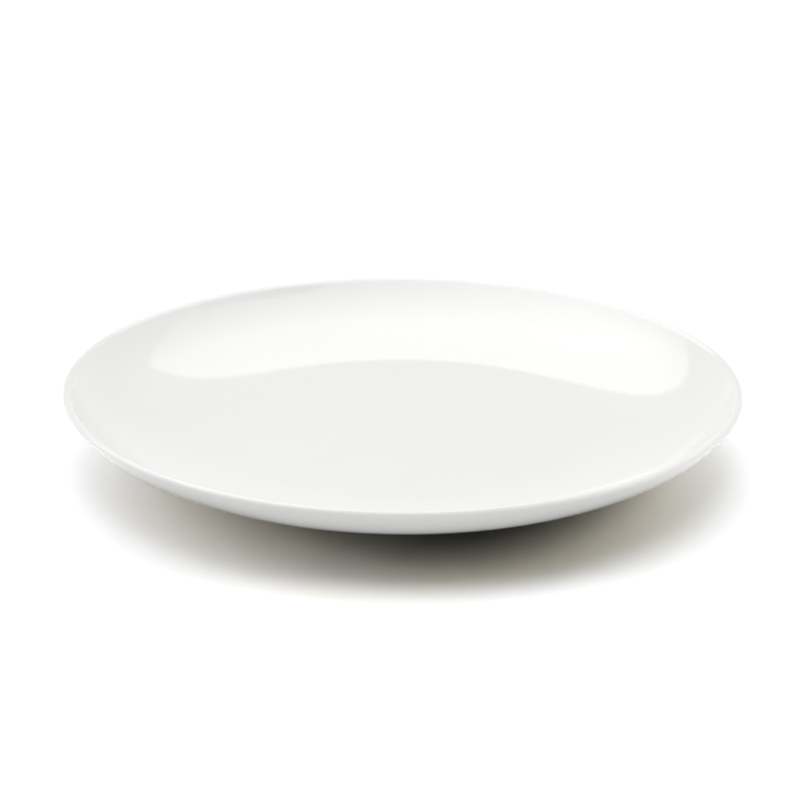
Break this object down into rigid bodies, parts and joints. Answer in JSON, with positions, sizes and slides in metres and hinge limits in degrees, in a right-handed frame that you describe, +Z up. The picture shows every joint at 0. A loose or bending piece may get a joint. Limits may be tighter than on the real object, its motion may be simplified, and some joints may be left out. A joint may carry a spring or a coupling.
{
  "type": "ceramic plate",
  "caption": "Round coupe plate in white glazed porcelain: a shallow dish that curves up to a rounded lip with no separate rim, standing on a bare foot ring.",
  "frame": {"origin": "middle of the foot ring, on the surface that the plate stands on", "axes": "+Z up along the plate's axis; the plate is round, so +X and +Y are any two level directions at right angles"},
  "size_m": [0.27, 0.27, 0.03],
  "materials": {
    "white_glaze": "clear gloss glaze on white porcelain",
    "bare_porcelain": "unglazed fired clay, matt"
  },
  "bodies": {
    "root": {"porcelain_body": "bare_porcelain", "glaze_coat": "white_glaze", "glaze_foot_well": "white_glaze"}
  },
  "joints": []
}
